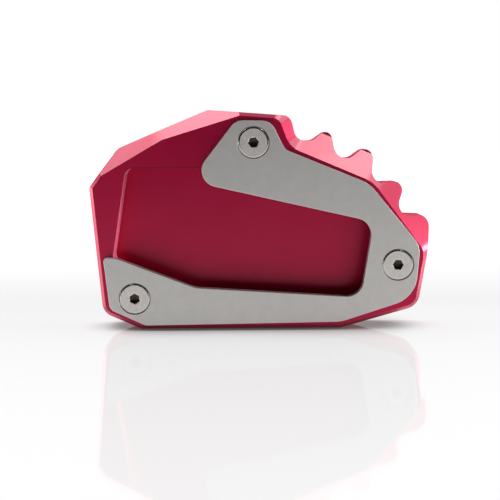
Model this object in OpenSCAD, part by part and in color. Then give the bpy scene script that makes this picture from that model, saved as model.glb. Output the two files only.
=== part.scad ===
// Kickstand foot enlarger: a milled aluminium base, a C-shaped clamp plate and three countersunk screws.
// The part stands on its straight lower edge, x to the right, z up, and the clamp plate faces -y.
// Every piece is drawn lying flat, ground face down, and stood up at the end.

/* [Base block] */
// Width between the upper left corner and the lowest tooth
base_w = 110.55; // [95:0.05:125]
// Height from the standing edge to the top corner
base_h = 70.4; // [64:0.1:80]
// Thickness of the base block
base_t = 14; // [12:0.5:18]
// Width of the chamfer along the plain edges of the front
edge_chamfer = 1.2; // [0.6:0.1:1.8]
// Depth at which the sloped facets stop
slope_depth = 8.25; // [6:0.05:10]
// Depth of the pocket for the foot of the stand
pocket_depth = 8.5; // [6:0.1:10]
// Corner radius of the pocket
pocket_r = 3; // [1.5:0.1:4]
// Distance that the pocket reaches under the clamp plate
pocket_under = 2; // [1:0.1:3]
// Distance in the front between the pocket and the tooth facets
pocket_wall = 5.5; // [4:0.1:7]

/* [Front facets] */
// Slope of the upper left facet, in degrees
facet_a_angle = 30; // [26:0.5:33]
// Slope of the facet above the pocket, in degrees
facet_b_angle = 16.9; // [14:0.1:20]
// Slope of the steep edge beside the top screw, in degrees
steep_angle = 68; // [62:0.5:74]
// Slope of the facet under the lower two teeth, in degrees
knee_angle = 53; // [50:0.5:56]
// Fillet where the steep edge meets the upper tooth facet
root_r = 7.4; // [4:0.1:9]
// Rounding between the two tooth facets
knee_r = 12; // [6:0.5:16]

/* [Clamp plate] */
// Thickness of the clamp plate
plate_t = 3; // [2.8:0.1:5]
// Rounding of the plate beside the right screw
plate_heel_r = 10; // [6:0.5:12]
// Corner radius at the closed end of the plate's opening
window_r = 5.4; // [3:0.1:7]
// Rounding at the free end of the upper arm
arm_end_r = 5.2; // [3:0.1:6]

/* [Screws] */
// Nominal thread diameter
thread_d = 5; // [4:0.5:6]
// Clearance between the thread and its tapped hole, each side
thread_play = 0.1; // [0.05:0.01:0.2]
// Clearance between the thread and the plate's hole, each side
plate_play = 0.25; // [0.1:0.05:0.5]
// Length of a screw with its head
screw_len = 12; // [10:0.5:14]
// Diameter of the countersunk head
head_d = 9.7; // [9:0.1:11]
// Height of the straight rim above the cone of the head
head_rim = 0.2; // [0.1:0.05:0.4]
// Distance that a head lies below the face of the plate
head_sink = 0.1; // [0.05:0.05:0.3]
// Width across the flats of the socket
socket_af = 3; // [2.5:0.5:4]
// Depth of the socket
socket_depth = 1.9; // [1.5:0.1:2.2]
// Depth that a tapped hole runs on below its screw
hole_spare = 1.5; // [0.5:0.1:2]

/* [Screw places] */
// Top screw, measured back from the right end of the base
top_screw_x = 57.9; // [54:0.1:62]
// Top screw, measured down from the top corner
top_screw_z = 10.3; // [9:0.1:12]
// Right screw, measured back from the right end of the base
right_screw_x = 12; // [11:0.1:14]
// Right screw, above the standing edge
right_screw_z = 21.1; // [19:0.1:23]
// Left screw, measured from the left end of the base
left_screw_x = 14.35; // [13.5:0.05:16]
// Left screw, above the standing edge
left_screw_z = 10.55; // [10:0.05:12]

/* [Hidden] */
$fn = 96;
// Overlap of joined solids and reach of cutters past the faces they open
lap = 0.5;
far = 20;
// Overlap of neighbouring cutters at an inside corner, and the small end of the cone that closes there
butt = 0.02;
cone_end_r = 0.05;
// Extra radius of each corner arc, so that it crosses the straight edges beside it cleanly
bulge = 0.004;
// Chamfer at the tip of a screw
screw_tip = 0.5;
// Anchors of the outline: left end, right end and top
lx = 0;
rx = base_w;
tz = base_h;
total_t = base_t + plate_t;

// Screw places in the plan
top_screw = [rx - top_screw_x, tz - top_screw_z];
right_screw = [rx - right_screw_x, right_screw_z];
left_screw = [lx + left_screw_x, left_screw_z];
// How far each hex socket happens to be turned, in degrees
top_turn = 8;
right_turn = -3;
left_turn = 34;

// Outer walls of the base, counter-clockwise from the left end of the standing edge, as [x, z, radius]
foot_left = [lx + 15.9, 0, 1.5];
foot_right = [rx - 29.7, 0, 3];
heel = [rx - 4.85, 7.1, 5.4];
tooth_4 = [rx, tz - 34.3, 3.6];
valley_4 = [rx - 13, tz - 33.8, 3.4];
tooth_3 = [rx - 7.9, tz - 23.15, 2.65];
valley_3 = [rx - 20.45, tz - 23.55, 3.25];
tooth_2 = [rx - 17.9, tz - 9.55, 2.8];
valley_2 = [rx - 31.25, tz - 18.55, 4];
tooth_1 = [rx - 32.8, tz - 5.45, 2.2];
valley_1 = [rx - 39.05, tz - 9.9, 4];
steep_foot = [rx - 44.15, tz - 9.95, 3.5];
steep_top = [rx - 46, tz - 2, 3.3];
crest = [lx + 38, tz, 1.5];
shoulder = [lx + 8.95, tz - 12.1, 5];
brow = [lx, tz - 24.45, 1.5];
toe = [lx + 3.6, 5.4, 4.8];
walls = [foot_left, foot_right, heel, tooth_4, valley_4, tooth_3, valley_3, tooth_2, valley_2,
    tooth_1, valley_1, steep_foot, steep_top, crest, shoulder, brow, toe];

// Corners of the flat front where its sloped facets change direction
facet_bend = [lx + 23.65, tz - 9.45];
slope_root = [rx - 46.2, tz - 12];
slope_knee = [rx - 19.8, tz - 23.15];

// Lines of the plain front edges, each one chamfer inside its wall
bottom_line = inset_line(foot_left, foot_right, edge_chamfer);
heel_line = inset_line(foot_right, heel, edge_chamfer);
right_line = inset_line(heel, tooth_4, edge_chamfer);
top_line = inset_line(steep_top, crest, edge_chamfer);
brow_line = inset_line(shoulder, brow, edge_chamfer);
left_line = inset_line(brow, toe, edge_chamfer);
toe_line = inset_line(toe, foot_left, edge_chamfer);
// Lines of the sloped facets
facet_a_line = line_at(facet_bend, 180 + facet_a_angle);
facet_b_line = line_at(facet_bend, facet_b_angle);
steep_line = line_at(slope_root, 180 - steep_angle);
knee_line = line_at(slope_knee, -knee_angle);

// The flat front, counter-clockwise from the left end of the standing edge, as [x, z, radius]
front = [
    corner(toe_line, bottom_line, 0),
    corner(bottom_line, heel_line, 2),
    corner(heel_line, right_line, heel[2] - edge_chamfer),
    corner(right_line, knee_line, 6),
    [slope_knee[0], slope_knee[1], knee_r],
    [slope_root[0], slope_root[1], root_r],
    corner(steep_line, top_line, 3),
    corner(top_line, facet_b_line, 0),
    [facet_bend[0], facet_bend[1], 0],
    corner(facet_a_line, brow_line, 0),
    corner(brow_line, left_line, 0),
    corner(left_line, toe_line, toe[2] - edge_chamfer)
];

// The clamp plate, counter-clockwise from the left end of its lower edge, as [x, z, radius]
arm_bend = [lx + 33.75, 14, 10];
window_low = [right_screw[0] - 11.75, right_screw[1] - 10.45, window_r];
window_high = [right_screw[0] - 7.9, right_screw[1] + 13.7, window_r];
arm_end = [top_screw[0] - 20.3, top_screw[1] - 12, arm_end_r];
arm_tip = [left_screw[0] - 9.8, left_screw[1] + 13.25, 1.1];
arm_shoulder = [left_screw[0] - 5.8, left_screw[1] + 13.1, 5];
plate = [
    [left_screw[0] + 3.4, left_screw[1] - 8.7, 4],
    [rx - 30.1, 2.75, 12],
    [right_screw[0] + 5.6, right_screw[1] - 10.6, plate_heel_r],
    [right_screw[0] + 7, right_screw[1] + 5.9, 7.5],
    [slope_knee[0] - 1.5, slope_knee[1] - 0.3, knee_r],
    [slope_root[0] - 1.8, slope_root[1] - 0.6, 4.8],
    [top_screw[0] + 5.5, top_screw[1] + 6.7, 4.4],
    [top_screw[0] - 5.5, top_screw[1] + 6.9, 5],
    arm_end,
    window_high,
    window_low,
    arm_bend,
    arm_shoulder,
    arm_tip,
    [left_screw[0] - 8, left_screw[1] - 3.45, 2.8]
];

// The pocket: its left and top walls show, and the others run under the plate
pocket_top = tz - 18.2;
pocket_wall_line = line_at([lx + 10.85, pocket_top - 6.3], 80.7);
pocket_top_line = line_at([0, pocket_top], 180);
pocket_arm_line = inset_line(arm_bend, arm_shoulder, pocket_under);
pocket_low_line = inset_line(window_low, arm_bend, pocket_under);
pocket_right_line = inset_line(window_high, window_low, pocket_under);
pocket_slope_line = inset_line(slope_knee, slope_root, pocket_wall);
pocket_knee_line = inset_line(knee_line[0], knee_line[1], -pocket_wall);
pocket = [
    corner(pocket_wall_line, pocket_arm_line, pocket_r),
    corner(pocket_arm_line, pocket_low_line, pocket_r),
    corner(pocket_low_line, pocket_right_line, window_r),
    corner(pocket_right_line, pocket_knee_line, pocket_r),
    corner(pocket_knee_line, pocket_slope_line, pocket_r),
    corner(pocket_slope_line, pocket_top_line, pocket_r),
    corner(pocket_top_line, pocket_wall_line, pocket_r)
];

// The part's middle in x, between the roundings of its outermost corners, by their places in walls
brow_place = 15;
tooth_place = 3;
brow_end = arc_centre(walls, brow_place)[0] - brow[2];
tooth_end = arc_centre(walls, tooth_place)[0] + tooth_4[2];
middle = (brow_end + tooth_end) / 2;

// Countersunk seat that the cone of a head fills
seat_mouth_r = head_d / 2 + head_rim + head_sink;
head_top = total_t - head_sink;
cone_h = head_d / 2 - thread_d / 2;
shank_end = head_top - screw_len;

function unit(v) = v / norm(v);
function plan(p) = [p[0], p[1]];
function line_at(p, angle) = [p, p + [cos(angle), sin(angle)]];
// The line from a to b, moved to its left by d
function inset_line(a, b, d) =
    let (u = unit(plan(b) - plan(a)), n = [-u[1], u[0]])
    [plan(a) + d * n, plan(b) + d * n];
function cross2(u, v) = u[0] * v[1] - u[1] * v[0];
// The point where two lines meet
function meet(l, m) =
    let (u = l[1] - l[0], v = m[1] - m[0], t = cross2(m[0] - l[0], v) / cross2(u, v))
    l[0] + t * u;
function corner(l, m, r) = let (p = meet(l, m)) [p[0], p[1], r];

// Corner i of an outline: its neighbours, the directions in and out, and half the turn between them
function before(pts, i) = plan(pts[(i + len(pts) - 1) % len(pts)]);
function after(pts, i) = plan(pts[(i + 1) % len(pts)]);
function dir_in(pts, i) = unit(plan(pts[i]) - before(pts, i));
function dir_out(pts, i) = unit(after(pts, i) - plan(pts[i]));
function half_turn(pts, i) = acos(max(-1, min(1, dir_in(pts, i) * dir_out(pts, i)))) / 2;
function is_convex(pts, i) = cross2(dir_in(pts, i), dir_out(pts, i)) > 0;
function tangent_len(pts, i) = pts[i][2] * tan(half_turn(pts, i));
function arc_start(pts, i) = plan(pts[i]) - dir_in(pts, i) * tangent_len(pts, i);
function arc_end(pts, i) = plan(pts[i]) + dir_out(pts, i) * tangent_len(pts, i);
function arc_centre(pts, i) =
    plan(pts[i]) + unit(dir_out(pts, i) - dir_in(pts, i)) * pts[i][2] / cos(half_turn(pts, i));

// What a rounding takes off a sharp outside corner, a little larger than the corner itself
module corner_scrap(pts, i) {
    c = arc_centre(pts, i);
    s = arc_start(pts, i);
    e = arc_end(pts, i);
    p = plan(pts[i]);
    difference() {
        polygon([s, s + unit(s - c) * lap, p + unit(p - c) * lap, e + unit(e - c) * lap, e]);
        translate(c) circle(pts[i][2] + bulge);
    }
}

// A polygon whose corners are rounded by true arcs: inside corners are filled to a chord and then
// hollowed by their circle, outside corners lose their scrap
module rounded(pts) {
    difference() {
        polygon([for (i = [0:len(pts) - 1]) each
            is_convex(pts, i) ? [plan(pts[i])] : [arc_start(pts, i), arc_end(pts, i)]]);
        for (i = [0:len(pts) - 1])
            if (!is_convex(pts, i)) translate(arc_centre(pts, i)) circle(pts[i][2] + bulge);
            else if (pts[i][2] > 0) corner_scrap(pts, i);
    }
}

// The cut beside one straight front edge: 45 degrees down to the given depth, then level
module straight_cut(pts, i, top, depth) {
    j = (i + 1) % len(pts);
    a = arc_end(pts, i);
    b = arc_start(pts, j);
    run_in = is_convex(pts, i) ? depth * tan(half_turn(pts, i)) + lap : butt;
    run_out = is_convex(pts, j) ? depth * tan(half_turn(pts, j)) + lap : butt;
    u = unit(b - a);
    translate([a[0], a[1], top])
    rotate([0, 0, atan2(u[1], u[0])])
    translate([-run_in, 0, 0])
    rotate([90, 0, 90])
    linear_extrude(norm(b - a) + run_in + run_out)
    polygon([[lap, lap], [-depth, -depth], [-depth - far, -depth], [-depth - far, lap]]);
}

// The cut around one rounded front corner: outside a widening cone, or inside a closing one
module corner_cut(pts, i, top, depth) {
    r = pts[i][2] + bulge;
    c = arc_centre(pts, i);
    above = min(lap, r / 2);
    if (is_convex(pts, i)) {
        s = unit(arc_start(pts, i) - c);
        e = unit(arc_end(pts, i) - c);
        reach = r + depth + far / 2;
        difference() {
            translate([c[0], c[1], top - depth])
            linear_extrude(depth + lap)
            polygon([[0, 0], s * reach, unit(s + e) * reach / cos(half_turn(pts, i)), e * reach]);
            translate([c[0], c[1], top - depth]) cylinder(h = depth + above, r1 = r + depth, r2 = r - above);
            translate([c[0], c[1], top]) cylinder(h = lap * 2, r = r - above);
        }
    } else {
        low = min(depth, r - cone_end_r);
        translate([c[0], c[1], top - low]) cylinder(h = low + lap, r1 = r - low, r2 = r + lap);
    }
}

module front_cut(pts, top, depth) {
    for (i = [0:len(pts) - 1]) {
        straight_cut(pts, i, top, depth);
        if (pts[i][2] > 0) corner_cut(pts, i, top, depth);
    }
}

module at(place) translate([place[0], place[1], 0]) children();

// Lying flat, ground face down, to standing on the lower edge with the plate towards -y
module stand() translate([-middle, total_t / 2, 0]) rotate([90, 0, 0]) children();

module tapped_hole() {
    bottom = shank_end - hole_spare;
    translate([0, 0, bottom]) cylinder(h = total_t, r = thread_d / 2 + thread_play);
}

module plate_hole() {
    seat_h = seat_mouth_r - thread_d / 2 - plate_play;
    translate([0, 0, base_t - lap]) cylinder(h = total_t, r = thread_d / 2 + plate_play);
    translate([0, 0, total_t - seat_h])
    cylinder(h = seat_h + lap, r1 = seat_mouth_r - seat_h, r2 = seat_mouth_r + lap);
}

module base_flat() {
    difference() {
        linear_extrude(base_t) rounded(walls);
        front_cut(front, base_t, slope_depth);
        translate([0, 0, base_t - pocket_depth]) linear_extrude(base_t) rounded(pocket);
        for (place = [top_screw, right_screw, left_screw]) at(place) tapped_hole();
    }
}

module plate_flat() {
    difference() {
        translate([0, 0, base_t]) linear_extrude(plate_t) rounded(plate);
        for (place = [top_screw, right_screw, left_screw]) at(place) plate_hole();
    }
}

module screw_flat(turn) {
    socket_r = socket_af / 2 / cos(30);
    difference() {
        union() {
            translate([0, 0, head_top - head_rim]) cylinder(h = head_rim, d = head_d);
            translate([0, 0, head_top - head_rim - cone_h])
            cylinder(h = cone_h, r1 = thread_d / 2, r2 = head_d / 2);
            translate([0, 0, shank_end + screw_tip])
            cylinder(h = screw_len - screw_tip - head_rim - cone_h, d = thread_d);
            translate([0, 0, shank_end])
            cylinder(h = screw_tip, r1 = thread_d / 2 - screw_tip, r2 = thread_d / 2);
        }
        rotate([0, 0, turn])
        translate([0, 0, head_top - socket_depth])
        cylinder(h = socket_depth + lap, r = socket_r, $fn = 6);
    }
}

module base() {
    color([0.62, 0.09, 0.19]) stand() base_flat();
}

module clamp_plate() {
    color([0.62, 0.6, 0.58]) stand() plate_flat();
}

module screw_top() {
    color([0.72, 0.7, 0.67]) stand() at(top_screw) screw_flat(top_turn);
}

module screw_right() {
    color([0.72, 0.7, 0.67]) stand() at(right_screw) screw_flat(right_turn);
}

module screw_left() {
    color([0.72, 0.7, 0.67]) stand() at(left_screw) screw_flat(left_turn);
}

base();
clamp_plate();
screw_top();
screw_right();
screw_left();
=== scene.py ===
"""Dresses the kickstand foot enlarger with edge breaks, turned screws and finishes.

It also sets up the table, the lamps and the camera of the photograph.
"""

import logging
import math
from dataclasses import dataclass, field
from enum import Enum

import bmesh
import bpy
from mathutils import Euler, Matrix, Vector

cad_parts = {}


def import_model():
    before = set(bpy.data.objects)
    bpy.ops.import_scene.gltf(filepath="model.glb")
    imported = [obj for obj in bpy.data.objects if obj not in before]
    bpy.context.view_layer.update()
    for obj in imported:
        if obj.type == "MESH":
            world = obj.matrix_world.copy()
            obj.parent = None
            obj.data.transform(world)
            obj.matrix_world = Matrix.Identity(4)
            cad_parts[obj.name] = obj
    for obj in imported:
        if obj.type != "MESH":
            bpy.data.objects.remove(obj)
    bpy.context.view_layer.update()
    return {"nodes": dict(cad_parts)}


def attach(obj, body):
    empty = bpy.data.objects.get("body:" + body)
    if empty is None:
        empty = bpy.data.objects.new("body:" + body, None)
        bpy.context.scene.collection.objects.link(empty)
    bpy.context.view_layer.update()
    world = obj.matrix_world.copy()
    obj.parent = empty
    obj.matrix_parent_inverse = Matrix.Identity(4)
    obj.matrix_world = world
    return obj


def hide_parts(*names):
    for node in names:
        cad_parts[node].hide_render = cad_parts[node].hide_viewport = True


LOG = logging.getLogger("foot_enlarger")
MM = 0.001
MICRON = 0.001 * MM
ROOT = "root"
# Numbers that the meshes carry, so that a finish knows its faces. The shade layer marks painted shade in the
# screws' sockets, the plate's countersunk seats and the pocket's lip
EDGE_LAYER = "edge_break"
FACET_LAYER = "facet_cut"
WALL_LAYER = "wall_cut"
FLANK_LAYER = "pocket_flank"
POCKET_SHADE_LAYER = "pocket_painted_shade"
TURN_LAYER = "axis_distance"
PAINTED_SHADE_LAYER = "painted_shade"
HEX_SIDES = 6
# Sockets of the Mix node, which go by the same names for colours and for values
MIX_COLOURS = (6, 7)
MIX_COLOUR_OUT = 2
MIX_VALUES = (2, 3)
MIX_VALUE_OUT = 0
# The part of a texture's range, from 0 to 1, that most of its surface falls in
MIDDLE_HALF = (0.25, 0.75)
POCKET_MIDDLE = (-4.0 * MM, 32.0 * MM)
PLATE_EDGE_BREAK = 0.16 * MM
Colour = tuple[float, float, float]
Place = tuple[float, float, float]


class Node(Enum):
    """Names of the solids that the dressed pieces stand for."""

    BASE = "base"
    PLATE = "clamp_plate"
    TOP = "screw_top"
    RIGHT = "screw_right"
    LEFT = "screw_left"


class Slot(Enum):
    """Material slots of the record."""

    RED = "red_anodised"
    PLATE = "plate_steel"
    SCREW = "screw_steel"


@dataclass(frozen=True)
class ScrewPlace:
    """Where a screw sits, in metres, and how far its socket happens to be turned, in degrees."""

    node: Node
    name: str
    x: float
    z: float
    turn: float


SCREW_PLACES = (
    ScrewPlace(Node.TOP, "turned_screw_top", -2.334 * MM, 60.1 * MM, 8.0),
    ScrewPlace(Node.RIGHT, "turned_screw_right", 43.566 * MM, 21.1 * MM, -3.0),
    ScrewPlace(Node.LEFT, "turned_screw_left", -40.634 * MM, 10.55 * MM, 34.0),
)


@dataclass(frozen=True)
class Grain:
    """A noise of a surface: features a metre, octaves, depth in metres and stretch along the axes."""

    scale: float
    detail: float
    depth: float = 0.0
    stretch: Place = (1.0, 1.0, 1.0)


class Bench:
    """A material while its nodes are wired."""

    def __init__(self, name: str) -> None:
        """Starts an empty material.

        Args:
            name: Name of the finish.
        """
        self.material = bpy.data.materials.new(name)
        self.material.use_nodes = True
        self.tree = self.material.node_tree
        self.tree.nodes.clear()
        self.output = self.add("ShaderNodeOutputMaterial")

    def add(self, kind: str, **settings: object) -> bpy.types.Node:
        """Adds one node.

        Args:
            kind: Blender's name for the node type.
            settings: Properties of the node by name.

        Returns:
            The new node.
        """
        node = self.tree.nodes.new(kind)
        for key, value in settings.items():
            setattr(node, key, value)
        return node

    def link(self, source: bpy.types.NodeSocket, target: bpy.types.NodeSocket) -> None:
        """Joins two sockets."""
        self.tree.links.new(source, target)

    def coordinates(self) -> bpy.types.NodeSocket:
        """Returns the object's own coordinates, in metres."""
        return self.add("ShaderNodeTexCoord").outputs["Object"]

    def noise(self, grain: Grain, vector: bpy.types.NodeSocket | None = None) -> bpy.types.NodeSocket:
        """Adds a noise texture.

        Args:
            grain: Its size, detail and stretch.
            vector: Coordinates that it reads; the stretched object coordinates when left out.

        Returns:
            Its factor, from 0 to 1.
        """
        if vector is None:
            mapping = self.add("ShaderNodeMapping")
            mapping.inputs["Scale"].default_value = grain.stretch
            self.link(self.coordinates(), mapping.inputs["Vector"])
            vector = mapping.outputs["Vector"]
        noise = self.add("ShaderNodeTexNoise")
        noise.inputs["Scale"].default_value = grain.scale
        noise.inputs["Detail"].default_value = grain.detail
        self.link(vector, noise.inputs["Vector"])
        return noise.outputs["Fac"]

    def spread(self, value: bpy.types.NodeSocket, low: float, high: float) -> bpy.types.NodeSocket:
        """Maps the middle half of a texture to a range.

        Args:
            value: Factor from 0 to 1.
            low: Result at the low end of the middle half.
            high: Result at its high end.

        Returns:
            The mapped value.
        """
        ranged = self.add("ShaderNodeMapRange")
        ranged.inputs["From Min"].default_value = MIDDLE_HALF[0]
        ranged.inputs["From Max"].default_value = MIDDLE_HALF[1]
        ranged.inputs["To Min"].default_value = low
        ranged.inputs["To Max"].default_value = high
        self.link(value, ranged.inputs["Value"])
        return ranged.outputs["Result"]

    def layer(self, name: str) -> bpy.types.NodeSocket:
        """Reads a number that the mesh carries."""
        return self.add("ShaderNodeAttribute", attribute_name=name).outputs["Fac"]

    def blend(
        self,
        factor: bpy.types.NodeSocket,
        first: bpy.types.NodeSocket | Colour,
        second: bpy.types.NodeSocket | Colour,
    ) -> bpy.types.NodeSocket:
        """Mixes two colours.

        Args:
            factor: 0 gives the first, 1 the second.
            first: Colour or colour socket.
            second: Colour or colour socket.

        Returns:
            The mixed colour.
        """
        mix = self.add("ShaderNodeMix", data_type="RGBA")
        self.link(factor, mix.inputs["Factor"])
        for place, value in zip(MIX_COLOURS, (first, second)):
            if isinstance(value, bpy.types.NodeSocket):
                self.link(value, mix.inputs[place])
            else:
                mix.inputs[place].default_value = (*value, 1.0)
        return mix.outputs[MIX_COLOUR_OUT]

    def weigh(
        self, factor: bpy.types.NodeSocket, first: bpy.types.NodeSocket, second: float
    ) -> bpy.types.NodeSocket:
        """Mixes a value towards a number.

        Args:
            factor: 0 gives the first, 1 the second.
            first: Value socket.
            second: Number.

        Returns:
            The mixed value.
        """
        mix = self.add("ShaderNodeMix", data_type="FLOAT")
        self.link(factor, mix.inputs["Factor"])
        self.link(first, mix.inputs[MIX_VALUES[0]])
        mix.inputs[MIX_VALUES[1]].default_value = second
        return mix.outputs[MIX_VALUE_OUT]

    def bump(
        self, height: bpy.types.NodeSocket, depth: float, below: bpy.types.NodeSocket | None = None
    ) -> bpy.types.NodeSocket:
        """Turns a height into a normal.

        Args:
            height: Factor from 0 to 1.
            depth: Height of 1, in metres.
            below: Normal that it is laid over.

        Returns:
            The bumped normal.
        """
        bump = self.add("ShaderNodeBump")
        bump.inputs["Strength"].default_value = 1.0
        bump.inputs["Distance"].default_value = depth
        self.link(height, bump.inputs["Height"])
        if below is not None:
            self.link(below, bump.inputs["Normal"])
        return bump.outputs["Normal"]

    def metal(
        self,
        colour: bpy.types.NodeSocket,
        roughness: bpy.types.NodeSocket,
        normal: bpy.types.NodeSocket,
        coat: bpy.types.NodeSocket | None = None,
        coat_roughness: float = 0.1,
        coat_index: float = 1.5,
        metallic: bpy.types.NodeSocket | None = None,
    ) -> bpy.types.Material:
        """Closes the material with a metal shader.

        Args:
            colour: Colour of the metal.
            roughness: Roughness from 0 to 1.
            normal: Bumped normal.
            coat: Weight of the clear film, if there is one.
            coat_roughness: Roughness of the film.
            coat_index: Refractive index of the film.
            metallic: How much of the surface is bare metal; all of it when left out.

        Returns:
            The finished material.
        """
        shader = self.add("ShaderNodeBsdfPrincipled")
        shader.inputs["Metallic"].default_value = 1.0
        if metallic is not None:
            self.link(metallic, shader.inputs["Metallic"])
        if coat is not None:
            shader.inputs["Coat Roughness"].default_value = coat_roughness
            shader.inputs["Coat IOR"].default_value = coat_index
            self.link(coat, shader.inputs["Coat Weight"])
        self.link(colour, shader.inputs["Base Color"])
        self.link(roughness, shader.inputs["Roughness"])
        self.link(normal, shader.inputs["Normal"])
        self.link(shader.outputs["BSDF"], self.output.inputs["Surface"])
        return self.material


@dataclass(frozen=True)
class RedAnodised:
    """Red anodised aluminium: satin flats and glossier facets, with painted light on the upright walls, more
    of it on the left pocket wall, and painted shade on the other pocket walls and the pocket's lip.
    """

    dye: Colour = (0.58, 0.014, 0.077)
    deep_dye: Colour = (0.54, 0.012, 0.067)
    # Painted light: the upright walls are dyed lighter than the faces, standing for light from the sides
    painted_light_wall_dye: Colour = (0.74, 0.07, 0.15)
    # Painted light: the pocket's left wall is paler still, standing for the light from the right that falls
    # on it
    painted_light_flank_dye: Colour = (0.96, 0.18, 0.31)
    # Painted shade: the pocket's other walls are dyed darker, standing for the shade deep in the pocket
    painted_shade_pocket_dye: Colour = (0.34, 0.009, 0.04)
    # Painted shade: the pocket's lip is dyed dark, standing for the shade along the pocket's mouth
    painted_shade_lip_dye: Colour = (0.19, 0.004, 0.018)
    edge_dye: Colour = (0.60, 0.02, 0.085)
    roughness: tuple[float, float] = (0.48, 0.54)
    facet_roughness: float = 0.42
    wall_roughness: float = 0.85
    edge_roughness: float = 0.46
    flat_film: float = 0.16
    facet_film: float = 1.0
    film_roughness: float = 0.18
    film_index: float = 1.75
    flank_metal: float = 0.15
    cloud: Grain = Grain(55.0, 3.0)
    grain: Grain = Grain(2600.0, 2.0, 1.4 * MICRON)
    cutter: Grain = Grain(1500.0, 2.0, 1.2 * MICRON, (0.12, 1.0, 1.0))

    def material(self) -> bpy.types.Material:
        """Wires the finish and returns it."""
        bench = Bench("red_anodised")
        place = bench.coordinates()
        cloud = bench.noise(self.cloud, place)
        grain = bench.noise(self.grain, place)
        cutter = bench.noise(self.cutter)
        edge = bench.layer(EDGE_LAYER)
        facet = bench.layer(FACET_LAYER)
        wall = bench.layer(WALL_LAYER)
        flank = bench.layer(FLANK_LAYER)
        deep = bench.layer(POCKET_SHADE_LAYER)
        dyed = bench.blend(bench.spread(cloud, 0.0, 1.0), self.dye, self.deep_dye)
        # Painted light on the walls and the left pocket wall, painted shade on the other pocket walls and the
        # lip
        painted_wall_light = bench.blend(wall, dyed, self.painted_light_wall_dye)
        painted_flank_light = bench.blend(flank, painted_wall_light, self.painted_light_flank_dye)
        painted_pocket_shade = bench.blend(deep, painted_flank_light, self.painted_shade_pocket_dye)
        painted_lip_shade = bench.blend(bench.layer(PAINTED_SHADE_LAYER), painted_pocket_shade, self.painted_shade_lip_dye)
        colour = bench.blend(edge, painted_lip_shade, self.edge_dye)
        satin = bench.spread(grain, *self.roughness)
        roughness = bench.weigh(facet, satin, self.facet_roughness)
        roughness = bench.weigh(wall, roughness, self.wall_roughness)
        roughness = bench.weigh(edge, roughness, self.edge_roughness)
        film = bench.weigh(wall, bench.spread(facet, self.flat_film, self.facet_film), 0.0)
        milled = bench.bump(cutter, self.cutter.depth)
        normal = bench.bump(grain, self.grain.depth, milled)
        metallic = bench.spread(flank, 1.0, self.flank_metal)
        return bench.metal(colour, roughness, normal, film, self.film_roughness, self.film_index, metallic)


@dataclass(frozen=True)
class PlateSteel:
    """Stainless sheet, tumbled and finely brushed along its length, with a deburred rim and painted shade in
    its countersunk seats.
    """

    steel: Colour = (0.72, 0.70, 0.68)
    dull_steel: Colour = (0.67, 0.65, 0.63)
    rim_steel: Colour = (0.74, 0.71, 0.69)
    # Painted shade: the countersunk seats are coloured dark, standing for the shadow gap round the screw
    # heads
    painted_shade_seat_steel: Colour = (0.24, 0.22, 0.21)
    roughness: tuple[float, float] = (0.48, 0.56)
    rim_roughness: float = 0.5
    brush: Grain = Grain(3200.0, 3.0, 2.2 * MICRON, (0.05, 1.0, 1.0))
    mottle: Grain = Grain(420.0, 4.0, 3.0 * MICRON)

    def material(self) -> bpy.types.Material:
        """Wires the finish and returns it."""
        bench = Bench("plate_steel")
        brushed = bench.noise(self.brush)
        mottle = bench.noise(self.mottle, bench.coordinates())
        edge = bench.layer(EDGE_LAYER)
        sheet = bench.blend(bench.spread(mottle, 0.0, 1.0), self.steel, self.dull_steel)
        rimmed = bench.blend(edge, sheet, self.rim_steel)
        # The seats' painted shade
        colour = bench.blend(bench.layer(PAINTED_SHADE_LAYER), rimmed, self.painted_shade_seat_steel)
        satin = bench.spread(brushed, *self.roughness)
        roughness = bench.weigh(edge, satin, self.rim_roughness)
        lines = bench.bump(brushed, self.brush.depth)
        normal = bench.bump(mottle, self.mottle.depth, lines)
        return bench.metal(colour, roughness, normal)


@dataclass(frozen=True)
class ScrewSteel:
    """Turned stainless steel: fine rings round each screw's own axis, a polished rim and a socket darkened by
    painted shade.
    """

    steel: Colour = (0.84, 0.80, 0.765)
    dull_steel: Colour = (0.74, 0.70, 0.665)
    rim_steel: Colour = (0.60, 0.58, 0.555)
    # Painted shade: the inside of the socket is coloured nearly black, standing for the shade in it
    painted_shade_socket_steel: Colour = (0.065, 0.052, 0.038)
    roughness: tuple[float, float] = (0.46, 0.58)
    rim_roughness: float = 0.2
    socket_roughness: float = 0.34
    rings: Grain = Grain(1.0 / (0.22 * MM), 2.0, 4.0 * MICRON)
    mottle: Grain = Grain(900.0, 2.0)

    def material(self) -> bpy.types.Material:
        """Wires the finish and returns it."""
        bench = Bench("screw_steel")
        radius = bench.add("ShaderNodeCombineXYZ")
        bench.link(bench.layer(TURN_LAYER), radius.inputs["X"])
        rings = bench.noise(self.rings, radius.outputs["Vector"])
        mottle = bench.noise(self.mottle, bench.coordinates())
        shade = bench.layer(PAINTED_SHADE_LAYER)
        rim = bench.layer(EDGE_LAYER)
        bright = bench.blend(bench.spread(mottle, 0.0, 1.0), self.steel, self.dull_steel)
        rimmed = bench.blend(rim, bright, self.rim_steel)
        colour = bench.blend(shade, rimmed, self.painted_shade_socket_steel)
        roughness = bench.weigh(rim, bench.spread(rings, *self.roughness), self.rim_roughness)
        roughness = bench.weigh(shade, roughness, self.socket_roughness)
        normal = bench.bump(rings, self.rings.depth)
        return bench.metal(colour, roughness, normal)


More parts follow.
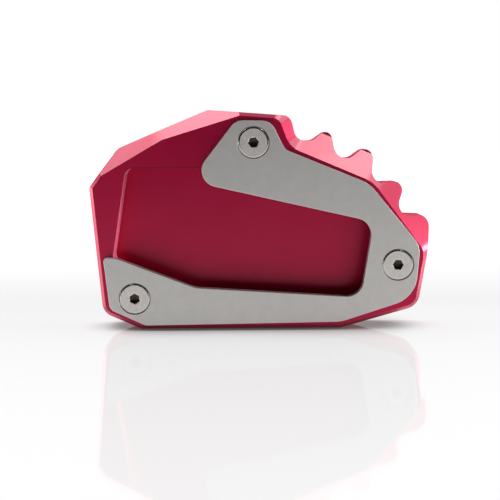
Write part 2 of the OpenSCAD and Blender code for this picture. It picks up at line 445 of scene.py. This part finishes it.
@dataclass(frozen=True)
class LightTable:
    """White glossy acrylic table top, lit from below: a faint mirror image lies under the object, and a
    painted shadow dims its glow near the object.
    """

    white: Colour = (0.20, 0.20, 0.203)
    shade_reach: float = 0.045
    least_light: float = 0.08
    mirror: float = 0.2
    mirror_roughness: float = 0.05
    reach: float = 0.6
    glow: tuple[tuple[float, float], ...] = ((-0.45, 0.45), (-0.16, 0.78), (0.05, 0.60), (0.5, 1.15))

    def material(self) -> bpy.types.Material:
        """Wires the finish and returns it."""
        bench = Bench("light_table")
        matt = bench.add("ShaderNodeBsdfDiffuse")
        matt.inputs["Color"].default_value = (*self.white, 1.0)
        gloss = bench.add("ShaderNodeBsdfGlossy")
        gloss.inputs["Roughness"].default_value = self.mirror_roughness
        top = bench.add("ShaderNodeMixShader")
        top.inputs["Fac"].default_value = self.mirror
        bench.link(matt.outputs["BSDF"], top.inputs[1])
        bench.link(gloss.outputs["BSDF"], top.inputs[2])
        apart = bench.add("ShaderNodeSeparateXYZ")
        bench.link(bench.coordinates(), apart.inputs["Vector"])
        along = bench.add("ShaderNodeMapRange")
        along.inputs["From Min"].default_value = -self.reach
        along.inputs["From Max"].default_value = self.reach
        bench.link(apart.outputs["Y"], along.inputs["Value"])
        stops = bench.add("ShaderNodeValToRGB")
        elements = stops.color_ramp.elements
        for index, (place, brightness) in enumerate(self.glow):
            stop = elements[index] if index < len(elements) else elements.new(1.0)
            stop.position = (place + self.reach) / (2 * self.reach)
            stop.color = (brightness, brightness, brightness, 1.0)
        bench.link(along.outputs["Result"], stops.inputs["Fac"])
        # Painted shadow: the glow dims where ambient occlusion finds the object near, down to least_light
        painted_shadow = bench.add("ShaderNodeAmbientOcclusion")
        painted_shadow.inputs["Distance"].default_value = self.shade_reach
        level = bench.add("ShaderNodeMath", operation="MULTIPLY")
        bench.link(stops.outputs["Color"], level.inputs[0])
        bench.link(bench.spread(painted_shadow.outputs["AO"], self.least_light, 1.0), level.inputs[1])
        light = bench.add("ShaderNodeEmission")
        bench.link(level.outputs["Value"], light.inputs["Strength"])
        both = bench.add("ShaderNodeAddShader")
        bench.link(top.outputs["Shader"], both.inputs[0])
        bench.link(light.outputs["Emission"], both.inputs[1])
        bench.link(both.outputs["Shader"], bench.output.inputs["Surface"])
        return bench.material


@dataclass(frozen=True)
class BlackCard:
    """Matt black card that keeps the camera's side dark."""

    black: Colour = (0.02, 0.02, 0.02)

    def material(self) -> bpy.types.Material:
        """Wires the finish and returns it."""
        bench = Bench("black_card")
        matt = bench.add("ShaderNodeBsdfDiffuse")
        matt.inputs["Color"].default_value = (*self.black, 1.0)
        bench.link(matt.outputs["BSDF"], bench.output.inputs["Surface"])
        return bench.material


def shade(mesh: bmesh.types.BMesh, sharp_from: float) -> None:
    """Smooths a mesh up to an angle.

    Args:
        mesh: Mesh to shade.
        sharp_from: Angle between faces at which an edge shows, in radians.
    """
    for face in mesh.faces:
        face.smooth = True
    for edge in mesh.edges:
        edge.smooth = edge.calc_face_angle(math.pi) < sharp_from


def piece(name: str, mesh: bmesh.types.BMesh, material: bpy.types.Material) -> bpy.types.Object:
    """Puts a finished mesh into the scene.

    Args:
        name: Name of the object.
        mesh: Mesh, freed here.
        material: Its finish.

    Returns:
        The new object, at the origin.
    """
    data = bpy.data.meshes.new(name)
    mesh.to_mesh(data)
    mesh.free()
    data.materials.append(material)
    made = bpy.data.objects.new(name, data)
    bpy.context.scene.collection.objects.link(made)
    return made


def settle(made: bpy.types.Object, node: Node) -> None:
    """Gives a dressed piece its body, hides the solid that it stands for, and reports it.

    Args:
        made: Dressed piece.
        node: Solid that it stands for.
    """
    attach(made, ROOT)
    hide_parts(node.value)
    LOG.info("%s stands for %s, %d faces", made.name, node.value, len(made.data.polygons))


@dataclass
class MilledPart:
    """A plain solid of the frame with its sharp outer edges broken and its faces sorted by finish and by
    painted light and shade.
    """

    node: Node
    name: str
    slot: Slot
    edge_break: float = 0.1 * MM
    pocket_middle: tuple[float, float] | None = None
    hole_radius: float = 5.4 * MM
    segments: int = 2
    weld: float = 0.01 * MM
    flat: float = math.radians(0.2)
    wall_facing: float = 0.06
    flat_facing: float = 0.98
    flank_facing: float = 0.5
    straight_flank: float = 0.99
    lip: float = 0.3 * MM
    least_turn: float = math.radians(24)
    sharp_from: float = math.radians(12)

    def in_hole(self, place: Vector) -> bool:
        """Returns whether a place lies in one of the screw holes."""
        reach = [math.hypot(place.x - screw.x, place.z - screw.z) for screw in SCREW_PLACES]
        return min(reach) < self.hole_radius

    def is_pocket_wall(self, face: bmesh.types.BMFace) -> bool:
        """Returns whether a face is a wall of the pocket: upright and turned to the pocket's middle."""
        if self.pocket_middle is None or abs(face.normal.y) > self.wall_facing:
            return False
        place = face.calc_center_median()
        inward = Vector((self.pocket_middle[0] - place.x, 0.0, self.pocket_middle[1] - place.z))
        return face.normal.dot(inward) > 0.0 and not self.in_hole(place)

    def is_sharp(self, edge: bmesh.types.BMEdge) -> bool:
        """Returns whether an edge gets a break: convex, and not a mouth of a hole or of the pocket."""
        middle = (edge.verts[0].co + edge.verts[1].co) / 2
        if self.in_hole(middle) or any(self.is_pocket_wall(face) for face in edge.link_faces):
            return False
        return edge.calc_face_angle_signed(0.0) > self.least_turn

    def is_lip(self, edge: bmesh.types.BMEdge) -> bool:
        """Returns whether an edge is the pocket's mouth, except beside its straight left wall, which carries
        painted light.
        """
        walls = [face for face in edge.link_faces if self.is_pocket_wall(face)]
        mouth = len(walls) == 1 and edge.calc_face_angle_signed(0.0) > self.least_turn
        return mouth and walls[0].normal.x < self.straight_flank

    def bevel(
        self, mesh: bmesh.types.BMesh, edges: list[bmesh.types.BMEdge], width: float
    ) -> list[bmesh.types.BMFace]:
        """Bevels edges.

        Args:
            mesh: Mesh to bevel.
            edges: Edges to bevel.
            width: Distance of the bevel's rims from the edge.

        Returns:
            The new faces.
        """
        return bmesh.ops.bevel(
            mesh,
            geom=edges,
            offset=width,
            offset_type="OFFSET",
            affect="EDGES",
            segments=self.segments,
            profile=0.5,
            material=-1,
            clamp_overlap=False,
        )["faces"]

    def broken_mesh(self, solid: bpy.types.Object) -> bmesh.types.BMesh:
        """Copies the solid's mesh, marks its faces by finish and by painted light and shade, and bevels its
        outer edges and the pocket's lip.

        Args:
            solid: The frame's object.

        Returns:
            The bevelled mesh, with a layer of its own for each kind of face.
        """
        mesh = bmesh.new()
        mesh.from_mesh(solid.data)
        bmesh.ops.remove_doubles(mesh, verts=mesh.verts, dist=self.weld)
        bmesh.ops.dissolve_limit(
            mesh,
            angle_limit=self.flat,
            use_dissolve_boundaries=False,
            verts=mesh.verts,
            edges=mesh.edges,
            delimit=set(),
        )
        kinds = (EDGE_LAYER, FACET_LAYER, WALL_LAYER, FLANK_LAYER, POCKET_SHADE_LAYER, PAINTED_SHADE_LAYER)
        for kind in kinds:
            mesh.faces.layers.float.new(kind)
        marked, facets, walls, flanks, pocket_shade_faces, painted_shade_faces = (mesh.faces.layers.float[kind] for kind in kinds)
        mesh.normal_update()
        for face in mesh.faces:
            facing = abs(face.normal.y)
            face[facets] = float(self.wall_facing < facing < self.flat_facing)
            face[walls] = float(facing <= self.wall_facing)
            pocket_wall = self.is_pocket_wall(face)
            # Pocket walls facing right carry painted light, and the pocket's other walls carry painted shade
            flank = pocket_wall and face.normal.x > self.flank_facing
            face[flanks] = float(flank)
            face[pocket_shade_faces] = float(pocket_wall and not flank)
            # Faces inside the holes carry painted shade
            face[painted_shade_faces] = float(facing < self.flat_facing and self.in_hole(face.calc_center_median()))
        lips = self.bevel(mesh, [edge for edge in mesh.edges if self.is_lip(edge)], self.lip)
        # The lip's faces get painted shade
        for face in lips:
            face[painted_shade_faces] = 1.0
            face[pocket_shade_faces] = face[flanks] = face[facets] = face[walls] = 0.0
        done = {edge for face in lips for edge in face.edges}
        sharp = [edge for edge in mesh.edges if edge not in done and self.is_sharp(edge)]
        for face in self.bevel(mesh, sharp, self.edge_break):
            face[marked] = 1.0
        bmesh.ops.recalc_face_normals(mesh, faces=mesh.faces)
        shade(mesh, self.sharp_from)
        return mesh

    def build(self, solids: dict[str, bpy.types.Object], material: bpy.types.Material) -> bpy.types.Object:
        """Makes the dressed piece.

        Args:
            solids: The frame's objects by node name.
            material: Its finish.

        Returns:
            The dressed piece.
        """
        made = piece(self.name, self.broken_mesh(solids[self.node.value]), material)
        settle(made, self.node)
        return made


@dataclass
class TurnedScrew:
    """A countersunk screw with a rounded rim, a hex socket with a sloped mouth, and a thread.

    Lengths are in metres, rim_tilt and first_corner in degrees. The thread's lead and corners are parts of
    its pitch, the shaded depths parts of the socket's depth, and the polished rim a part of rim_round.
    """

    place: ScrewPlace
    front: float = -8.4 * MM
    length: float = 12.0 * MM
    head_radius: float = 4.85 * MM
    rim_height: float = 0.2 * MM
    rim_round: float = 1.0 * MM
    rim_tilt: float = 33.0
    rim_steps: int = 6
    support: float = 0.1 * MM
    thread_radius: float = 2.5 * MM
    root_radius: float = 2.05 * MM
    pitch: float = 0.8 * MM
    thread_lead: float = 0.3
    thread_corners: tuple[float, float, float] = (0.42, 0.52, 0.94)
    thread_sink: float = 0.06 * MM
    thread_steps: int = 36
    tip: float = 0.5 * MM
    socket_across: float = 3.0 * MM
    socket_mouth: float = 1.79 * MM
    mouth_slope: float = 0.4
    socket_depth: float = 1.9 * MM
    drill_point: float = 0.5 * MM
    shaded_depths: tuple[float, float] = (0.1, 2.0)
    polished_rim: float = 0.5
    first_corner: float = 30.0
    weld: float = 0.001 * MM
    steps: int = 96
    sharp_from: float = math.radians(24)

    @property
    def socket_corner(self) -> float:
        """Returns the distance of the hexagon's corners from the screw's axis."""
        return self.socket_across / 2 / math.cos(math.pi / HEX_SIDES)

    @property
    def cone_foot(self) -> float:
        """Returns the depth at which the head's cone meets the shank's core."""
        return self.rim_height + self.head_radius - self.root_radius

    def outline(self) -> list[tuple[float, float]]:
        """Returns the turned profile as radius and depth, from the socket's mouth to the tip."""
        edge = self.head_radius
        tilts = [math.radians(self.rim_tilt * step / self.rim_steps) for step in range(self.rim_steps + 1)]
        start = edge - self.rim_round * math.sin(tilts[-1])
        rim = [
            (start + self.rim_round * math.sin(tilt), self.rim_round * (1.0 - math.cos(tilt)))
            for tilt in tilts
        ]
        return [
            (self.socket_mouth, 0.0),
            (self.socket_mouth + self.support, 0.0),
            (start - self.support, 0.0),
            *rim,
            (edge, self.rim_height),
            (self.root_radius, self.cone_foot),
            (self.root_radius, self.length - self.tip),
            (self.root_radius - self.tip, self.length),
            (0.0, self.length),
        ]

    def turned_body(self, mesh: bmesh.types.BMesh) -> None:
        """Spins the profile into the head and the shank's core."""
        corners = [mesh.verts.new((radius, depth, 0.0)) for radius, depth in self.outline()]
        edges = [mesh.edges.new(pair) for pair in zip(corners, corners[1:])]
        bmesh.ops.spin(
            mesh,
            geom=corners + edges,
            cent=(0.0, 0.0, 0.0),
            axis=(0.0, 1.0, 0.0),
            angle=2.0 * math.pi,
            steps=self.steps,
            use_merge=True,
        )
        bmesh.ops.remove_doubles(mesh, verts=mesh.verts, dist=self.weld)

    def socket(self, mesh: bmesh.types.BMesh) -> None:
        """Opens the hex socket, with a sloped mouth and a drilled bottom."""
        upright = Matrix.Rotation(math.radians(-90), 4, "X")
        hexagon = bmesh.ops.create_circle(
            mesh, segments=HEX_SIDES, radius=self.socket_corner, matrix=upright, cap_ends=False
        )
        sides = list(dict.fromkeys(edge for vert in hexagon["verts"] for edge in vert.link_edges))
        bmesh.ops.subdivide_edges(mesh, edges=sides, cuts=self.steps // HEX_SIDES - 1)
        ring = [edge for edge in mesh.edges if edge.is_wire]
        for vert in {vert for edge in ring for vert in edge.verts}:
            vert.co.y = self.mouth_slope * (self.socket_mouth - math.hypot(vert.co.x, vert.co.z))
        mouth = [edge for edge in mesh.edges if edge.is_boundary]
        bmesh.ops.bridge_loops(mesh, edges=ring + mouth)
        walls = bmesh.ops.extrude_edge_only(mesh, edges=ring)
        floor = [item for item in walls["geom"] if isinstance(item, bmesh.types.BMVert)]
        for vert in floor:
            vert.co.y = self.socket_depth
        rim = [item for item in walls["geom"] if isinstance(item, bmesh.types.BMEdge) and item.is_boundary]
        point = bmesh.ops.extrude_edge_only(mesh, edges=rim)
        tips = [item for item in point["geom"] if isinstance(item, bmesh.types.BMVert)]
        bmesh.ops.pointmerge(mesh, verts=tips, merge_co=(0.0, self.socket_depth + self.drill_point, 0.0))

    def thread(self, mesh: bmesh.types.BMesh) -> None:
        """Winds the thread's ridge round the core, from under the head to the tip."""
        start = self.cone_foot + self.thread_lead * self.pitch
        turns = (self.length - self.tip - start) / self.pitch - 1.0
        inner = self.root_radius - self.thread_sink
        crest, crest_end, foot = (start + part * self.pitch for part in self.thread_corners)
        corners = (
            (inner, start),
            (self.thread_radius, crest),
            (self.thread_radius, crest_end),
            (inner, foot),
        )
        section = [mesh.verts.new((radius, depth, 0.0)) for radius, depth in corners]
        face = mesh.faces.new(section)
        whole = round(turns * self.thread_steps)
        bmesh.ops.spin(
            mesh,
            geom=[*section, *face.edges, face],
            cent=(0.0, 0.0, 0.0),
            axis=(0.0, 1.0, 0.0),
            dvec=(0.0, self.pitch / self.thread_steps, 0.0),
            angle=2.0 * math.pi * whole / self.thread_steps,
            steps=whole,
            use_merge=False,
        )

    def mark(self, mesh: bmesh.types.BMesh) -> None:
        """Gives each point its distance from the axis, and marks the socket's painted shade and the polished
        rim.
        """
        distance = mesh.verts.layers.float.new(TURN_LAYER)
        for vert in mesh.verts:
            vert[distance] = math.hypot(vert.co.x, vert.co.z)
        shaded = mesh.faces.layers.float.new(PAINTED_SHADE_LAYER)
        polished = mesh.faces.layers.float.new(EDGE_LAYER)
        highest, lowest = (part * self.socket_depth for part in self.shaded_depths)
        for face in mesh.faces:
            centre = face.calc_center_median()
            radius = math.hypot(centre.x, centre.z)
            inside = radius < self.socket_corner
            face[shaded] = float(inside and highest < centre.y < lowest)
            beyond = radius > self.head_radius - self.polished_rim * self.rim_round
            face[polished] = float(beyond or (not inside and radius < self.socket_mouth))

    def build(self, material: bpy.types.Material) -> bpy.types.Object:
        """Makes the screw.

        Args:
            material: Its finish.

        Returns:
            The dressed screw.
        """
        mesh = bmesh.new()
        self.turned_body(mesh)
        self.socket(mesh)
        self.thread(mesh)
        bmesh.ops.recalc_face_normals(mesh, faces=mesh.faces)
        self.mark(mesh)
        shade(mesh, self.sharp_from)
        turned = Matrix.Rotation(math.radians(self.first_corner - self.place.turn), 4, "Y")
        placed = Matrix.Translation((self.place.x, self.front, self.place.z))
        bmesh.ops.transform(mesh, matrix=placed @ turned, verts=mesh.verts)
        made = piece(self.place.name, mesh, material)
        settle(made, self.place.node)
        return made


@dataclass(frozen=True)
class Panel:
    """A soft rectangular lamp, which the camera doesn't see."""

    name: str
    place: Place
    aim: Place
    width: float
    height: float
    brightness: float

    def build(self) -> bpy.types.Object:
        """Hangs the lamp and returns it."""
        lamp = bpy.data.lights.new(self.name, "AREA")
        lamp.shape = "RECTANGLE"
        lamp.size = self.width
        lamp.size_y = self.height
        lamp.energy = self.brightness * math.pi * self.width * self.height
        made = bpy.data.objects.new(self.name, lamp)
        made.location = self.place
        gaze = Vector(self.aim) - Vector(self.place)
        made.rotation_euler = gaze.to_track_quat("-Z", "Y").to_euler()
        made.visible_camera = False
        bpy.context.scene.collection.objects.link(made)
        return made


@dataclass
class Studio:
    """The table, the black card, the lamps and the white room round the object."""

    table_front: float = -1.2
    table_back: float = 2.6
    table_side: float = 2.2
    card_radius: float = 0.66
    card_heights: tuple[float, float] = (0.001, 2.0)
    card_sweep: float = math.radians(156)
    card_steps: int = 48
    room: tuple[tuple[float, float], ...] = ((0.2, 1.0), (0.5, 0.42))
    panels: list[Panel] = field(
        default_factory=lambda: [
            Panel("overhead_far_left", (-0.5, 0.1, 0.6), (-0.5, 0.1, 0.0), 0.28, 0.3, 1.75),
            Panel("overhead_left", (-0.215, 0.1, 0.6), (-0.215, 0.1, 0.0), 0.25, 0.3, 3.6),
            Panel("overhead_right", (0.31, 0.1, 0.6), (0.31, 0.1, 0.0), 0.26, 0.3, 2.6),
            Panel("left_panel", (-0.6, 0.06, 0.1), (0.0, 0.06, 0.05), 0.3, 0.3, 3.9),
            Panel("right_panel", (0.45, 0.06, 0.5), (0.04, 0.06, 0.03), 0.2, 0.34, 1.6),
            Panel("right_low_panel", (0.6, 0.07, 0.13), (0.0, 0.07, 0.03), 0.1, 0.1, 8.0),
            Panel("right_front_panel", (0.62, -0.115, 0.12), (0.0, -0.02, 0.03), 0.08, 0.2, 44.0),
            Panel("spot_left", (-0.42, -0.36, 0.06), (0.0, 0.0, 0.04), 0.05, 0.05, 6.0),
            Panel("spot_upper_left", (-0.24, -0.36, 0.4), (0.0, 0.0, 0.04), 0.05, 0.05, 6.0),
            Panel("spot_upper_right", (0.225, -0.36, 0.4), (0.0, 0.0, 0.04), 0.05, 0.05, 6.0),
            Panel("spot_right", (0.42, -0.36, 0.06), (0.0, 0.0, 0.04), 0.05, 0.05, 6.0),
        ]
    )

    def table(self, material: bpy.types.Material) -> None:
        """Lays the table top, a flat rectangle on the ground.

        Args:
            material: Its finish.
        """
        depth = self.table_back - self.table_front
        mesh = bmesh.new()
        bmesh.ops.create_grid(mesh, x_segments=1, y_segments=1, size=0.5)
        bmesh.ops.scale(mesh, vec=(2 * self.table_side, depth, 1.0), verts=mesh.verts)
        bmesh.ops.translate(mesh, vec=(0.0, self.table_front + depth / 2, 0.0), verts=mesh.verts)
        piece("table_top", mesh, material)

    def card(self, material: bpy.types.Material) -> None:
        """Bends the black card round the camera's side; the camera itself doesn't see it.

        Args:
            material: Its finish.
        """
        mesh = bmesh.new()
        half = self.card_sweep / 2
        start = (-self.card_radius * math.sin(half), -self.card_radius * math.cos(half))
        posts = [mesh.verts.new((*start, height)) for height in self.card_heights]
        post = mesh.edges.new(posts)
        bmesh.ops.spin(
            mesh,
            geom=[*posts, post],
            cent=(0.0, 0.0, 0.0),
            axis=(0.0, 0.0, 1.0),
            angle=self.card_sweep,
            steps=self.card_steps,
            use_merge=False,
        )
        made = piece("front_card", mesh, material)
        made.visible_camera = False

    def build(self) -> None:
        """Sets up the table, the card, the lamps and the room."""
        self.table(LightTable().material())
        self.card(BlackCard().material())
        for panel in self.panels:
            panel.build()
        self.white_room()
        LOG.info("studio set up with %d lamps", len(self.panels))

    def white_room(self) -> None:
        """Fills the world with plain white light, softer overhead than at eye level."""
        world = bpy.data.worlds.new("white_room")
        world.use_nodes = True
        tree = world.node_tree
        shader = tree.nodes["Background"]
        apart = tree.nodes.new("ShaderNodeSeparateXYZ")
        stops = tree.nodes.new("ShaderNodeValToRGB")
        tree.links.new(tree.nodes.new("ShaderNodeTexCoord").outputs["Generated"], apart.inputs["Vector"])
        tree.links.new(apart.outputs["Z"], stops.inputs["Fac"])
        tree.links.new(stops.outputs["Color"], shader.inputs["Color"])
        for stop, (height, level) in zip(stops.color_ramp.elements, self.room):
            stop.position = height
            stop.color = (level, level, level, 1.0)
        bpy.context.scene.world = world


@dataclass
class Viewpoint:
    """The camera of the photograph."""

    place: Place = (-3.616 * MM, -308.5 * MM, 62.95 * MM)
    pitch: float = 7.0
    roll: float = 0.34
    focal_pixels: float = 951.0
    frame_pixels: float = 500.0
    sensor: float = 36.0
    nearest: float = 0.01

    def build(self) -> bpy.types.Object:
        """Sets up the camera and returns it."""
        lens = bpy.data.cameras.new("viewpoint")
        lens.sensor_fit = "HORIZONTAL"
        lens.sensor_width = self.sensor
        lens.lens = self.focal_pixels / self.frame_pixels * self.sensor
        lens.clip_start = self.nearest
        made = bpy.data.objects.new("viewpoint", lens)
        tilt = Euler((math.radians(90.0 - self.pitch), 0.0, 0.0)).to_matrix().to_4x4()
        bank = Matrix.Rotation(math.radians(-self.roll), 4, "Z")
        made.matrix_world = Matrix.Translation(self.place) @ tilt @ bank
        bpy.context.scene.collection.objects.link(made)
        bpy.context.scene.camera = made
        return made


def main() -> None:
    """Builds the dressed part, the studio and the camera in order."""
    logging.basicConfig(level=logging.INFO, format="%(name)s: %(message)s")
    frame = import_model()
    solids = frame["nodes"]
    bpy.context.scene.view_settings.view_transform = "Standard"

    block = MilledPart(Node.BASE, "milled_base", Slot.RED, pocket_middle=POCKET_MIDDLE)
    block.build(solids, RedAnodised().material())
    plate = MilledPart(Node.PLATE, "cut_plate", Slot.PLATE, edge_break=PLATE_EDGE_BREAK)
    plate.build(solids, PlateSteel().material())
    turned = ScrewSteel().material()
    for place in SCREW_PLACES:
        TurnedScrew(place).build(turned)

    Studio().build()
    Viewpoint().build()

    bpy.context.view_layer.update()


if __name__ == "__main__":
    main()
